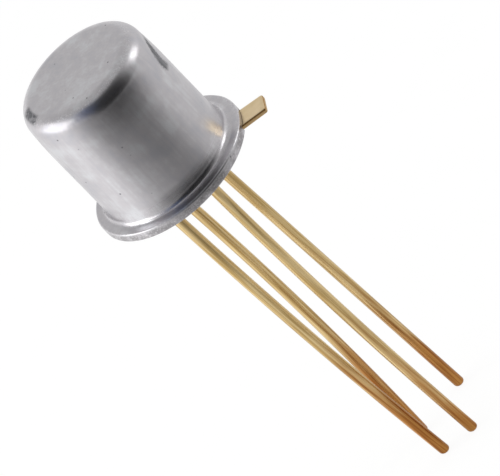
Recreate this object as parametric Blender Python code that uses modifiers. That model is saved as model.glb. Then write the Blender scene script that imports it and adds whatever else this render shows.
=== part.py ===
"""A field-effect transistor in a small round metal can with four wire leads.

The can is welded to a drawn header shell, which is filled with glass. Three leads pass through the glass
and end as posts beside the chip. The fourth is welded to the shell. The origin is the centre of the seating
plane, which is the underside of the header, and +Z runs up the can. The sizes build outwards from the
circle that the leads stand on. Run it with
    blender --background --python part.py
"""

import math

import bmesh
import bpy
from mathutils import Vector
from mathutils.geometry import interpolate_bezier

MM = 0.001

# Leads
LEAD_CIRCLE_RADIUS = 1.27 * MM
LEAD_RADIUS = 0.18 * MM
LEAD_LENGTH = 13.50 * MM
LEAD_TIP_FLAT_RADIUS = 0.065 * MM
LEAD_KNEE = 0.90 * MM
POST_HEIGHT = 0.35 * MM

# Each lead's place on its circle
LEAD_ANGLE = {"lead_source": 90.0, "lead_gate": 180.0, "lead_drain": 270.0, "lead_case": 0.0}
POSTS = ("lead_source", "lead_gate", "lead_drain")

# How handling has bent each lead: a kick under the glass, a lean and a bow one way, a splay the other
LEAN_ANGLE = 62.0
LEAD_KICK = {
    "lead_source": -0.09 * MM,
    "lead_gate": 0.12 * MM,
    "lead_drain": 0.17 * MM,
    "lead_case": -0.07 * MM,
}
LEAD_LEAN = {
    "lead_source": 0.84 * MM,
    "lead_gate": 0.46 * MM,
    "lead_drain": 1.01 * MM,
    "lead_case": 0.64 * MM,
}
LEAD_BOW = {
    "lead_source": 0.0,
    "lead_gate": 0.17 * MM,
    "lead_drain": -0.10 * MM,
    "lead_case": -0.11 * MM,
}
LEAD_SPLAY = {
    "lead_source": -0.79 * MM,
    "lead_gate": 0.34 * MM,
    "lead_drain": 0.32 * MM,
    "lead_case": 0.01 * MM,
}

# Header shell, drawn from one sheet
SHEET = 0.17 * MM
EYELET_GLASS = 0.24 * MM
EYELET_MARGIN = 0.09 * MM
SHELL_HEIGHT = 0.98 * MM
SHELL_CORNER_RADIUS = 0.12 * MM
SHELL_FOOT_FILLET = 0.06 * MM
SHELL_MOUTH_ROUND = 0.09 * MM
GLASS_RECESS = 0.03 * MM

# Can
CAN_CLEARANCE = 0.13 * MM
CAN_WALL = 0.22 * MM
CAN_HEIGHT = 4.92 * MM
CAN_CORNER_INSIDE = 0.33 * MM
CAN_TAPER = 0.05 * MM
CAN_TAPER_LENGTH = 1.17 * MM
CAN_FLARE = 0.04 * MM
CAN_FLARE_LENGTH = 0.40 * MM
CAN_FOOT_FILLET = 0.20 * MM

# Flange at the can's foot, with a lip that closes over the header's edge
FLANGE_WIDTH = 0.475 * MM
FLANGE_THICKNESS = 0.17 * MM
FLANGE_EDGE_ROUND = 0.06 * MM
LIP_LIFT = 0.03 * MM
LIP_WALL = 0.10 * MM

# Index tab, measured from the flange's edge
TAB_ANGLE = 45.0
TAB_LENGTH = 0.88 * MM
TAB_WIDTH = 0.88 * MM
TAB_TAPER = 0.03 * MM
TAB_CORNER_RADIUS = 0.07 * MM
TAB_ROOT_FILLET = 0.13 * MM

# Chip, its solder pad and its bond wires
DIE_SIDE = 0.55 * MM
DIE_THICKNESS = 0.20 * MM
DIE_PAD_INSET = 0.115 * MM
SOLDER_MARGIN = 0.075 * MM
SOLDER_THICKNESS = 0.03 * MM
BOND_RADIUS = 0.019 * MM
BOND_BALL_RADIUS = 0.045 * MM
BOND_BALL_HEIGHT = 0.03 * MM
BOND_RISE = 0.45 * MM
BOND_RUN = 0.45 * MM
BOND_LANDING = 0.22 * MM

# Clearances between pieces that touch on the real part
WELD_GAP = 0.01 * MM
SEAL_GAP = 0.01 * MM
EDGE_GAP = 0.015 * MM
NOTCH_GAP = 0.03 * MM

# Fineness
RING_STEPS = 60
ARC_STEPS = 4
KNEE_STEPS = 5
LEAD_STEPS = 22
HOLE_STEPS = 24
ARCH_POINTS = 14
LEAD_BEVEL_RESOLUTION = 4
BOND_BEVEL_RESOLUTION = 2
MERGE = 0.001 * MM

# Radii that follow, from the lead circle outwards
EYELET_RADIUS = LEAD_RADIUS + EYELET_GLASS
SHELL_BORE = LEAD_CIRCLE_RADIUS + EYELET_RADIUS + EYELET_MARGIN
SHELL_RADIUS = SHELL_BORE + SHEET
CAN_BORE = SHELL_RADIUS + CAN_CLEARANCE
CAN_RADIUS = CAN_BORE + CAN_WALL
FLANGE_RADIUS = CAN_RADIUS + FLANGE_WIDTH
LIP_BORE = FLANGE_RADIUS - LIP_WALL
HEADER_RADIUS = LIP_BORE - EDGE_GAP
TAB_REACH = FLANGE_RADIUS + TAB_LENGTH

# Levels that follow, from the seating plane upwards
FLANGE_SEAT = SHEET + WELD_GAP
FLANGE_TOP = FLANGE_SEAT + FLANGE_THICKNESS
PLATE_UNDERSIDE = SHELL_HEIGHT - SHEET
GLASS_TOP = PLATE_UNDERSIDE - SEAL_GAP
POST_TOP = SHELL_HEIGHT + POST_HEIGHT
SOLDER_BASE = SHELL_HEIGHT + WELD_GAP
SOLDER_TOP = SOLDER_BASE + SOLDER_THICKNESS
DIE_BASE = SOLDER_TOP + WELD_GAP
DIE_TOP = DIE_BASE + DIE_THICKNESS


def clear_scene():
    for old in list(bpy.data.objects):
        bpy.data.objects.remove(old, do_unlink=True)


def new_collection(name):
    collection = bpy.data.collections.new(name)
    bpy.context.scene.collection.children.link(collection)
    return collection


def finish(name, colour, metallic, roughness):
    """A Principled BSDF material, with linear colour values."""
    material = bpy.data.materials.new(name)
    material.use_nodes = True
    shader = material.node_tree.nodes["Principled BSDF"]
    shader.inputs["Base Color"].default_value = (*colour, 1.0)
    shader.inputs["Metallic"].default_value = metallic
    shader.inputs["Roughness"].default_value = roughness
    material.diffuse_color = (*colour, 1.0)
    return material


def add_object(name, data, collection, material=None):
    piece = bpy.data.objects.new(name, data)
    collection.objects.link(piece)
    if material:
        piece.data.materials.append(material)
    return piece


def take_new(name, collection):
    """Names the primitive that was just added and puts it in its collection."""
    piece = bpy.context.active_object
    piece.name = name
    for old in list(piece.users_collection):
        old.objects.unlink(piece)
    collection.objects.link(piece)
    return piece


def block(name, size, place, turn, collection):
    """A box of a size, with its middle at a place, turned about Z by degrees."""
    rotation = (0.0, 0.0, math.radians(turn))
    bpy.ops.mesh.primitive_cube_add(size=1.0, location=place, rotation=rotation, scale=size)
    return take_new(name, collection)


def rod(name, radius, low, high, place, collection):
    """An upright cylinder between two levels."""
    bpy.ops.mesh.primitive_cylinder_add(
        vertices=HOLE_STEPS,
        radius=radius,
        depth=high - low,
        location=(place.x, place.y, (low + high) / 2),
    )
    return take_new(name, collection)


def as_cutter(piece):
    piece.hide_render = True
    piece.display_type = "WIRE"
    return piece


def combine(piece, operation, other):
    modifier = piece.modifiers.new(other.name, "BOOLEAN")
    modifier.operation = operation
    modifier.solver = "EXACT"
    modifier.object = other


def polar(radius, degrees, z=0.0):
    angle = math.radians(degrees)
    return Vector((radius * math.cos(angle), radius * math.sin(angle), z))


def arc(centre, radius, start, end, steps=ARC_STEPS):
    """Points on an arc in a flat drawing, with angles in degrees from its first axis to its second."""
    turns = [math.radians(start + (end - start) * i / steps) for i in range(steps + 1)]
    return [(centre[0] + radius * math.cos(a), centre[1] + radius * math.sin(a)) for a in turns]


def turned(name, profile, collection, material):
    """A profile in the XZ plane, which starts and ends on the axis, turned about Z."""
    mesh = bpy.data.meshes.new(name)
    edges = [(i, i + 1) for i in range(len(profile) - 1)]
    mesh.from_pydata([(r, 0.0, z) for r, z in profile], edges, [])
    piece = add_object(name, mesh, collection, material)
    screw = piece.modifiers.new("Turn", "SCREW")
    screw.axis = "Z"
    screw.angle = 2 * math.pi
    screw.steps = RING_STEPS
    screw.render_steps = RING_STEPS
    screw.use_merge_vertices = True
    screw.merge_threshold = MERGE
    screw.use_smooth_shade = True
    return piece


def curve_to_mesh(curve_object, name, collection):
    """The same shape as a mesh, which a Boolean can use, with the curve removed."""
    graph = bpy.context.evaluated_depsgraph_get()
    mesh = bpy.data.meshes.new_from_object(curve_object.evaluated_get(graph))
    builder = bmesh.new()
    builder.from_mesh(mesh)
    bmesh.ops.remove_doubles(builder, verts=builder.verts, dist=MERGE)
    bmesh.ops.recalc_face_normals(builder, faces=builder.faces)
    builder.to_mesh(mesh)
    builder.free()
    piece = add_object(name, mesh, collection)
    piece.matrix_world = curve_object.matrix_world.copy()
    bpy.data.objects.remove(curve_object, do_unlink=True)
    return piece


def wire(name, points, radii, bevel_resolution, collection, material):
    """A round wire along a list of points, with its own radius at each."""
    curve = bpy.data.curves.new(name, "CURVE")
    curve.dimensions = "3D"
    curve.bevel_depth = max(radii)
    curve.bevel_resolution = bevel_resolution
    curve.use_fill_caps = True
    spline = curve.splines.new("POLY")
    spline.points.add(len(points) - 1)
    for knot, place, radius in zip(spline.points, points, radii):
        knot.co = place.to_4d()
        knot.radius = radius / curve.bevel_depth
    return add_object(name, curve, collection, material)


def easing(wide, narrow, start, run):
    """Points that leave a straight wall and curve away from it over a run, with the last slope in degrees."""
    shares = [i / ARC_STEPS for i in range(ARC_STEPS + 1)]
    points = [(wide + (narrow - wide) * share**2, start + run * share) for share in shares]
    return points, math.degrees(math.atan(2 * abs((narrow - wide) / run)))


def can_profile():
    """Down the outside from the middle of the top, round the flange and lip, and up the inside."""
    corner_radius = CAN_CORNER_INSIDE + CAN_WALL
    neck_radius = CAN_RADIUS - CAN_TAPER
    corner_level = CAN_HEIGHT - corner_radius
    taper, taper_slope = easing(CAN_RADIUS, neck_radius, corner_level - CAN_TAPER_LENGTH, CAN_TAPER_LENGTH)
    flare_start = FLANGE_TOP + CAN_FOOT_FILLET + CAN_FLARE_LENGTH
    flare, flare_slope = easing(CAN_RADIUS, CAN_RADIUS + CAN_FLARE, flare_start, -CAN_FLARE_LENGTH)
    corner = (neck_radius - corner_radius, corner_level)
    foot = (CAN_RADIUS + CAN_FLARE + CAN_FOOT_FILLET, FLANGE_TOP + CAN_FOOT_FILLET)
    rim = (FLANGE_RADIUS - FLANGE_EDGE_ROUND, FLANGE_TOP - FLANGE_EDGE_ROUND)
    bend_radius = CAN_FOOT_FILLET + FLANGE_THICKNESS
    bend = (CAN_BORE + bend_radius, FLANGE_SEAT + bend_radius)
    outside = [(0.0, CAN_HEIGHT)]
    outside += arc(corner, corner_radius, 90, taper_slope, 2 * ARC_STEPS)
    outside += taper[::-1] + flare
    outside += arc(foot, CAN_FOOT_FILLET, 180 + flare_slope, 270)
    outside += arc(rim, FLANGE_EDGE_ROUND, 90, 0)
    outside += [(FLANGE_RADIUS, LIP_LIFT), (LIP_BORE, LIP_LIFT), (LIP_BORE, FLANGE_SEAT)]
    inside = arc(bend, bend_radius, 270, 180)
    inside += [(radius - CAN_WALL, level) for radius, level in taper]
    inside += arc(corner, CAN_CORNER_INSIDE, taper_slope, 90)
    inside.append((0.0, CAN_HEIGHT - CAN_WALL))
    return outside + inside


def tab_notch(cutters):
    """The gap in the can's lip that the index tab comes out through."""
    half = TAB_WIDTH / 2 + TAB_ROOT_FILLET + NOTCH_GAP
    inner = math.sqrt(LIP_BORE**2 - half**2) - EDGE_GAP
    outer = FLANGE_RADIUS + LIP_WALL
    low = LIP_LIFT - LIP_WALL
    high = FLANGE_SEAT + WELD_GAP
    size = (outer - inner, 2 * half, high - low)
    place = polar((inner + outer) / 2, TAB_ANGLE, (low + high) / 2)
    return as_cutter(block("tab_notch", size, place, TAB_ANGLE, cutters))


def make_can(parts, cutters):
    nickel = finish("nickel_plated_can", (0.56, 0.56, 0.57), 1.0, 0.34)
    can = turned("cap", can_profile(), parts, nickel)
    combine(can, "DIFFERENCE", tab_notch(cutters))


def shell_profile():
    """Down the outside of the raised cup, out along the flange past the tab's reach, and up the bore."""
    corner = (SHELL_RADIUS - SHELL_CORNER_RADIUS, SHELL_HEIGHT - SHELL_CORNER_RADIUS)
    foot = (SHELL_RADIUS + SHELL_FOOT_FILLET, SHEET + SHELL_FOOT_FILLET)
    mouth = (SHELL_BORE + SHELL_MOUTH_ROUND, SHELL_MOUTH_ROUND)
    brim = TAB_REACH + SHEET
    outside = [(0.0, SHELL_HEIGHT)]
    outside += arc(corner, SHELL_CORNER_RADIUS, 90, 0)
    outside += arc(foot, SHELL_FOOT_FILLET, 180, 270)
    outside += [(brim, SHEET), (brim, 0.0)]
    inside = arc(mouth, SHELL_MOUTH_ROUND, 270, 180)
    inside += [(SHELL_BORE, PLATE_UNDERSIDE), (0.0, PLATE_UNDERSIDE)]
    return outside + inside


def blank_outline():
    """The flat outline of the sheet: a disc with the index tab, which points along +X here."""
    root = TAB_WIDTH / 2
    tip = root - TAB_TAPER
    foot = root + TAB_ROOT_FILLET
    edge = math.sqrt(HEADER_RADIUS**2 - foot**2)
    meets = math.degrees(math.atan2(foot, edge))
    side = arc((edge + TAB_ROOT_FILLET, foot), TAB_ROOT_FILLET, 180, 270)
    side += arc((TAB_REACH - TAB_CORNER_RADIUS, tip - TAB_CORNER_RADIUS), TAB_CORNER_RADIUS, 90, 0)
    disc = arc((0.0, 0.0), HEADER_RADIUS, meets, 360 - meets, RING_STEPS)
    return side + [(x, -y) for x, y in reversed(side)] + disc[-2:0:-1]


def make_blank(cutters):
    """The blanking outline, extruded taller than the shell that it trims."""
    curve = bpy.data.curves.new("header_blank", "CURVE")
    curve.dimensions = "2D"
    curve.fill_mode = "BOTH"
    curve.extrude = SHELL_HEIGHT
    outline = blank_outline()
    spline = curve.splines.new("POLY")
    spline.points.add(len(outline) - 1)
    for knot, place in zip(spline.points, outline):
        knot.co = Vector(place).to_3d().to_4d()
    spline.use_cyclic_u = True
    flat = add_object("header_blank_outline", curve, cutters)
    flat.location.z = SHELL_HEIGHT / 2
    flat.rotation_euler.z = math.radians(TAB_ANGLE)
    bpy.context.view_layer.update()
    return as_cutter(curve_to_mesh(flat, "header_blank", cutters))


def make_shell(parts, cutters):
    gold = finish("gold_plated_header", (0.62, 0.47, 0.24), 1.0, 0.38)
    shell = turned("header_shell", shell_profile(), parts, gold)
    combine(shell, "INTERSECT", make_blank(cutters))
    for name in POSTS:
        place = polar(LEAD_CIRCLE_RADIUS, LEAD_ANGLE[name])
        low = PLATE_UNDERSIDE - SHEET
        high = SHELL_HEIGHT + SHEET
        hole = rod(name + "_eyelet", EYELET_RADIUS, low, high, place, cutters)
        combine(shell, "DIFFERENCE", as_cutter(hole))


def glass_profile():
    """From the middle of the slug's top, down its side, out into the mouth's round and back to the axis."""
    mouth = (SHELL_BORE + SHELL_MOUTH_ROUND, SHELL_MOUTH_ROUND)
    flare_radius = SHELL_MOUTH_ROUND + SEAL_GAP
    flare_end = 180 + math.degrees(math.asin((SHELL_MOUTH_ROUND - GLASS_RECESS) / flare_radius))
    side = [(0.0, GLASS_TOP), (SHELL_BORE - SEAL_GAP, GLASS_TOP)]
    return side + arc(mouth, flare_radius, 180, flare_end) + [(0.0, GLASS_RECESS)]


def make_glass(parts, cutters):
    """The slug in the shell's bore, with a collar up through each eyelet and a hole for each lead."""
    glass = finish("seal_glass", (0.10, 0.16, 0.13), 0.0, 0.12)
    slug = turned("glass_seal", glass_profile(), parts, glass)
    for name in POSTS:
        place = polar(LEAD_CIRCLE_RADIUS, LEAD_ANGLE[name])
        collar = rod(name + "_collar", EYELET_RADIUS - SEAL_GAP, GLASS_TOP / 2, SHELL_HEIGHT, place, cutters)
        combine(slug, "UNION", as_cutter(collar))
    for name, angle in LEAD_ANGLE.items():
        place = polar(LEAD_CIRCLE_RADIUS, angle)
        hole = rod(name + "_bore", LEAD_RADIUS + SEAL_GAP, -SHEET, POST_TOP, place, cutters)
        combine(slug, "DIFFERENCE", as_cutter(hole))


def ease(share):
    """Rises from 0 to 1 with no kink at either end."""
    share = min(max(share, 0.0), 1.0)
    return share * share * (3 - 2 * share)


def lead_place(name, depth):
    """The middle of a lead at a depth under the seating plane, with its bends."""
    share = depth / LEAD_LENGTH
    start = ease(depth / LEAD_KNEE)
    bow = LEAD_BOW[name] * 4 * share * (1 - share)
    sideways = (LEAD_KICK[name] + LEAD_LEAN[name] * share + bow) * start
    across = LEAD_SPLAY[name] * share * start
    straight = polar(LEAD_CIRCLE_RADIUS, LEAD_ANGLE[name], -depth)
    return straight + polar(sideways, LEAN_ANGLE) + polar(across, LEAN_ANGLE - 90)


def lead_stations(top):
    """(depth, radius) pairs from a lead's top to its tip, which is rounded round a small flat."""
    rounding = LEAD_RADIUS - LEAD_TIP_FLAT_RADIUS
    straight_end = LEAD_LENGTH - rounding
    run = straight_end - LEAD_KNEE
    depths = [-top]
    depths += [LEAD_KNEE * i / KNEE_STEPS for i in range(KNEE_STEPS)]
    depths += [LEAD_KNEE + run * i / LEAD_STEPS for i in range(LEAD_STEPS)]
    stations = [(depth, LEAD_RADIUS) for depth in depths]
    tip = arc((straight_end, LEAD_TIP_FLAT_RADIUS), rounding, 90, 0)
    return stations + tip


def make_leads(parts):
    """Each wire runs from its post down through the glass, but the case lead starts under the shell's top."""
    gold = finish("gold_plated_lead", (0.55, 0.37, 0.14), 1.0, 0.36)
    for name in LEAD_ANGLE:
        top = POST_TOP if name in POSTS else PLATE_UNDERSIDE - WELD_GAP
        stations = lead_stations(top)
        points = [lead_place(name, depth) for depth, _ in stations]
        radii = [radius for _, radius in stations]
        wire(name, points, radii, LEAD_BEVEL_RESOLUTION, parts, gold)


def make_chip(parts):
    silicon = finish("silicon", (0.12, 0.12, 0.16), 0.6, 0.20)
    solder = finish("gold_silicon_solder", (0.60, 0.48, 0.25), 1.0, 0.45)
    solder_side = DIE_SIDE + 2 * SOLDER_MARGIN
    size = (solder_side, solder_side, SOLDER_THICKNESS)
    place = (0.0, 0.0, (SOLDER_BASE + SOLDER_TOP) / 2)
    block("die_attach", size, place, 0.0, parts).data.materials.append(solder)
    size = (DIE_SIDE, DIE_SIDE, DIE_THICKNESS)
    place = (0.0, 0.0, (DIE_BASE + DIE_TOP) / 2)
    block("mosfet_die", size, place, 0.0, parts).data.materials.append(silicon)


def make_bond_wires(parts):
    """Each runs from a ball on the chip, over in an arch, and down on its lead's post."""
    metal = finish("gold_bond_wire", (0.78, 0.56, 0.22), 1.0, 0.25)
    pad = DIE_SIDE / 2 - DIE_PAD_INSET
    ball_foot = DIE_TOP + WELD_GAP
    ball_top = ball_foot + BOND_BALL_HEIGHT
    landing = POST_TOP + WELD_GAP + BOND_RADIUS
    for name in POSTS:
        angle = LEAD_ANGLE[name]
        start = polar(pad, angle, ball_top)
        above = polar(pad, angle, ball_top + BOND_RISE)
        back = polar(LEAD_CIRCLE_RADIUS - LEAD_RADIUS - BOND_RUN, angle, landing + BOND_LANDING)
        end = polar(LEAD_CIRCLE_RADIUS, angle, landing)
        ball = [polar(pad, angle, ball_foot), polar(pad, angle, ball_top - BOND_RADIUS / 2)]
        arch = interpolate_bezier(start, above, back, end, ARCH_POINTS)
        radii = [BOND_BALL_RADIUS] * len(ball) + [BOND_RADIUS] * len(arch)
        wire(name.replace("lead", "bond_wire"), ball + arch, radii, BOND_BEVEL_RESOLUTION, parts, metal)


def main():
    clear_scene()
    parts = new_collection("mosfet_transistor")
    cutters = new_collection("cutters")
    make_can(parts, cutters)
    make_shell(parts, cutters)
    make_glass(parts, cutters)
    make_leads(parts)
    make_chip(parts)
    make_bond_wires(parts)


main()
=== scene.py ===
# %% [markdown]
# A field-effect transistor in a metal can
#
# This lesson dresses the CAD model of a small transistor: a nickel-plated can on a gold-plated header,
# with four gold-plated wires below. The CAD model already says where everything is and how large it is,
# so it is loaded first and stays fixed. Each new piece is made on the same sizes, with the rounds, edges
# and finishes that a close look needs.

import math

import bpy
from mathutils import Matrix, Vector


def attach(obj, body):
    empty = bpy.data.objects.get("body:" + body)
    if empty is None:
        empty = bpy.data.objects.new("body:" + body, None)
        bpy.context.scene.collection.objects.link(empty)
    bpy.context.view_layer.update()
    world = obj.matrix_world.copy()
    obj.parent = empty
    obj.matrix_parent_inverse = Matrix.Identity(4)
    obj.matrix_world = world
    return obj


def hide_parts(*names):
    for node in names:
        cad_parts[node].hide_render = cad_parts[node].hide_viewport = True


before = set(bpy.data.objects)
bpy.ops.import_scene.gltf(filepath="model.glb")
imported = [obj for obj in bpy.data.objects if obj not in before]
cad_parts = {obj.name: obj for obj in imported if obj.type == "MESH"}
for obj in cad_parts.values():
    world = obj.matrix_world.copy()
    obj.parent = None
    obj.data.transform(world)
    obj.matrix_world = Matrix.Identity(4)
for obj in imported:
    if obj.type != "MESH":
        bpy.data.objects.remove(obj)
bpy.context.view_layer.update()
print("CAD nodes:", ", ".join(sorted(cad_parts)))

# %% [markdown]
# Start from an empty bench
#
# Blender opens with a cube, a lamp and a camera of its own, which go first.

# %% Remove what Blender opens with
for startup_name in ("Cube", "Light", "Camera"):
    startup = bpy.data.objects.get(startup_name)
    if startup:
        bpy.data.objects.remove(startup, do_unlink=True)

# %% [markdown]
# Sizes
#
# The can is only 5 mm tall, so all sizes are written in millimetres and turned into Blender's metres by
# one factor. They are those of the CAD model, which keeps each new piece on the solid it dresses.

# %% Sizes of the metal parts
MM = 0.001

CAN_TOP = 4.92 * MM
CAN_RADIUS = 2.30 * MM
CAN_WALL = 0.22 * MM
CORNER_RADIUS = 0.55 * MM
TAPER = 0.05 * MM
TAPER_LENGTH = 1.17 * MM
FLARE = 0.04 * MM
FLARE_LENGTH = 0.40 * MM
FOOT_FILLET = 0.20 * MM

FLANGE_RADIUS = 2.775 * MM
FLANGE_TOP = 0.35 * MM
FLANGE_SEAT = 0.18 * MM
FLANGE_ROUND = 0.06 * MM
LIP_BORE = 2.675 * MM
LIP_FOOT = 0.03 * MM
LIP_ROUND = 0.025 * MM

HEADER_RADIUS = 2.66 * MM
SHEET = 0.17 * MM
SHELL_RADIUS = 1.95 * MM
SHELL_BORE = 1.78 * MM
SHELL_TOP = 0.98 * MM
PLATE_UNDERSIDE = 0.81 * MM

TAB_ANGLE = 45.0
TAB_REACH = 3.654 * MM
TAB_TIP_HALF = 0.41 * MM

LEAD_CIRCLE = 1.27 * MM
LEAD_RADIUS = 0.18 * MM
LEAD_LENGTH = 13.50 * MM
POST_TOP = 1.33 * MM
EYELET_RADIUS = 0.42 * MM
SEAL_GAP = 0.01 * MM
MERGE = 0.0001 * MM
print(f"Can {CAN_TOP / MM:.2f} mm tall, leads {LEAD_LENGTH / MM:.2f} mm long")

# %% [markdown]
# Working in edit mode
#
# An operator acts on whatever is selected. The first helpers therefore clear the selection and pick edges
# or faces by a rule about their place, which does in code what a click does by hand.


# %% Select by a rule
def start_edit(select="VERT"):
    bpy.ops.object.mode_set(mode="EDIT")
    bpy.ops.mesh.select_mode(type=select)


def end_edit():
    bpy.ops.object.mode_set(mode="OBJECT")


def select_only(piece=None):
    """Deselects all, and then selects one piece, if one is given."""
    bpy.ops.object.select_all(action="DESELECT")
    if piece:
        piece.select_set(True)
        bpy.context.view_layer.objects.active = piece


def pick(piece, kind, rule):
    """Selects the edges whose two ends, or the faces whose middle and normal, meet the rule."""
    start_edit(kind)
    bpy.ops.mesh.select_all(action="DESELECT")
    end_edit()
    mesh = piece.data
    chosen = 0
    for item in mesh.polygons if kind == "FACE" else mesh.edges:
        if kind == "FACE":
            facts = (item.center, item.normal)
        else:
            facts = [mesh.vertices[i].co for i in item.vertices]
        item.select = bool(rule(*facts))
        chosen += item.select
    start_edit(kind)
    return chosen


print("Helpers ready: start_edit, end_edit, select_only, pick")

# %% [markdown]
# Turning a profile
#
# The can and the header are round, and a press drew both from flat sheet. Blender could start them from
# cylinders, but every rounded corner would then be a separate bevel. Turning suits them better: a small
# plane, merged to one point, is extruded along half of the cross-section, and the spin tool sweeps that
# line once round the Z axis. Its first and last line fall on each other, so doubles are merged, and the
# normals are made to point outwards.


# %% Draw a profile and spin it
def round_corner(centre, radius, start, end, steps):
    """Points on an arc of a cross-section, with angles in degrees from outwards to upwards."""
    turns = [math.radians(start + (end - start) * i / steps) for i in range(steps + 1)]
    return [(centre[0] + radius * math.cos(a), centre[1] + radius * math.sin(a)) for a in turns]


def extrude(step):
    bpy.ops.mesh.extrude_region_move(TRANSFORM_OT_translate={"value": step})


def turn_profile(name, profile, steps, first_angle=0.0):
    """A closed body of revolution from (radius, height) points that start and end on the axis."""
    select_only()
    outwards = Vector((math.cos(first_angle), math.sin(first_angle), 0.0))
    places = [outwards * r + Vector((0.0, 0.0, z)) for r, z in profile]
    bpy.ops.mesh.primitive_plane_add(size=SHEET, location=places[0])
    piece = bpy.context.active_object
    piece.name = name
    start_edit()
    bpy.ops.mesh.merge(type="CENTER")
    for here, there in zip(places, places[1:]):
        extrude(there - here)
    bpy.ops.mesh.select_all(action="SELECT")
    bpy.ops.mesh.spin(steps=steps, angle=2 * math.pi, center=(0.0, 0.0, 0.0), axis=(0.0, 0.0, 1.0))
    bpy.ops.mesh.select_all(action="SELECT")
    bpy.ops.mesh.remove_doubles(threshold=MERGE)
    bpy.ops.mesh.normals_make_consistent(inside=False)
    end_edit()
    bpy.ops.object.transform_apply(location=True, rotation=False, scale=False)
    return piece


print("Helpers ready: round_corner, extrude, turn_profile")

# %% [markdown]
# Finishing a piece
#
# Holes and notches are cut with a Boolean modifier, which is applied at once. At the end each piece's
# place is baked into its mesh, because patterns are read from object coordinates. It then rides on the
# part's one body and stands for the CAD node it replaces.


# %% Cut, place and hand over
def cut(piece, cutter, operation="DIFFERENCE"):
    select_only(piece)
    tool = piece.modifiers.new("Cut", "BOOLEAN")
    tool.operation = operation
    tool.solver = "EXACT"
    tool.object = cutter
    bpy.ops.object.modifier_apply(modifier=tool.name)
    bpy.data.objects.remove(cutter, do_unlink=True)


def hand_over(piece, node, smooth_angle):
    """Bakes the place in, smooths by angle, and rides on the body in place of a CAD node."""
    select_only(piece)
    bpy.ops.object.transform_apply(location=True, rotation=True, scale=True)
    bpy.ops.object.shade_smooth_by_angle(angle=math.radians(smooth_angle))
    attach(piece, "root")
    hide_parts(node)
    triangles = sum(len(face.vertices) - 2 for face in piece.data.polygons)
    print(f"{piece.name}: {triangles} triangles, stands for {node}")


# %% [markdown]
# The can
#
# The real can is deep drawn from nickel-plated steel: a punch pushes a flat disc into a cup in a few
# strokes. That leaves a full round at the top, a wall that narrows by a hair towards it, a slight flare
# and a fillet at the foot, and a flat flange whose edge is pressed down over the header as a lip. Each
# round is an arc of the cross-section, so its centre comes first.

# %% The centres of the can's rounds
corner_level = CAN_TOP - CORNER_RADIUS
neck_corner = (CAN_RADIUS - TAPER - CORNER_RADIUS, corner_level)
foot_centre = (CAN_RADIUS + FLARE + FOOT_FILLET, FLANGE_TOP + FOOT_FILLET)
rim_centre = (FLANGE_RADIUS - FLANGE_ROUND, FLANGE_TOP - FLANGE_ROUND)
lip_outside = (FLANGE_RADIUS - LIP_ROUND, LIP_FOOT + LIP_ROUND)
lip_inside = (LIP_BORE + LIP_ROUND, LIP_FOOT + LIP_ROUND)
bend_radius = FOOT_FILLET + FLANGE_TOP - FLANGE_SEAT
bend_centre = (CAN_RADIUS - CAN_WALL + bend_radius, FLANGE_SEAT + bend_radius)
print(f"Rounds: top {CORNER_RADIUS / MM:.2f} mm, foot {FOOT_FILLET / MM:.2f} mm")

# %% [markdown]
# The slow curves at both ends of the wall matter more than their size suggests. They tilt the surface by
# only a few degrees, but a mirror doubles that, and the dark bands in the photograph begin and end there.
# Each is a parabola, which leaves the straight wall without a kink.


# %% The slow curves of the wall
def easing(sideways, start, run, steps):
    """Wall points that curve away from the straight wall by a parabola, and its last slope in degrees."""
    shares = [i / steps for i in range(steps + 1)]
    points = [(CAN_RADIUS + sideways * share**2, start + run * share) for share in shares]
    return points, math.degrees(math.atan(2 * abs(sideways / run)))


flare_top = FLANGE_TOP + FOOT_FILLET + FLARE_LENGTH
taper, taper_slope = easing(-TAPER, corner_level - TAPER_LENGTH, TAPER_LENGTH, 16)
flare, flare_slope = easing(FLARE, flare_top, -FLARE_LENGTH, 10)
print(f"Last slopes: {taper_slope:.1f} and {flare_slope:.1f} degrees")

# %% [markdown]
# The outline runs from the middle of the top down the outside, round the lip, and back up the inside at
# one sheet's thickness, so the turned mesh is a real shell.

# %% Turn the can
CAN_STEPS = 192
TOP_RING = 0.9 * MM
outside = [(0.0, CAN_TOP), (TOP_RING, CAN_TOP)]
outside += round_corner(neck_corner, CORNER_RADIUS, 90, taper_slope, 20)
outside += taper[::-1] + flare
outside += round_corner(foot_centre, FOOT_FILLET, 180 + flare_slope, 270, 12)
outside += round_corner(rim_centre, FLANGE_ROUND, 90, 0, 8)
outside += round_corner(lip_outside, LIP_ROUND, 0, -90, 5)
outside += round_corner(lip_inside, LIP_ROUND, 270, 180, 5)
outside.append((LIP_BORE, FLANGE_SEAT))

inside = round_corner(bend_centre, bend_radius, 270, 180, 8)
inside += [(radius - CAN_WALL, level) for radius, level in taper[::4]]
inside += round_corner(neck_corner, CORNER_RADIUS - CAN_WALL, taper_slope, 90, 8)
inside.append((0.0, CAN_TOP - CAN_WALL))

can = turn_profile("drawn_can", outside + inside, CAN_STEPS)
print("Can profile:", len(outside) + len(inside), "points")

# %% [markdown]
# The two halves of the package were welded a little off centre, so the flange stands out further on the
# tab's side. Only the flange is moved, and its edges are picked by their distance from the axis.

# %% Slide the flange a hair towards the tab
FLANGE_SLIDE = 0.035 * MM
slide_from = CAN_RADIUS + FLARE + FOOT_FILLET / 2


def towards(radius, degrees, z=0.0):
    angle = math.radians(degrees)
    return Vector((radius * math.cos(angle), radius * math.sin(angle), z))


def on_flange(a, b):
    return min(a.xy.length, b.xy.length) > slide_from


tab_way = towards(1.0, TAB_ANGLE)
slid = pick(can, "EDGE", on_flange)
bpy.ops.transform.translate(value=tab_way * FLANGE_SLIDE)
end_edit()
print("Flange edges moved:", slid)

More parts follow.
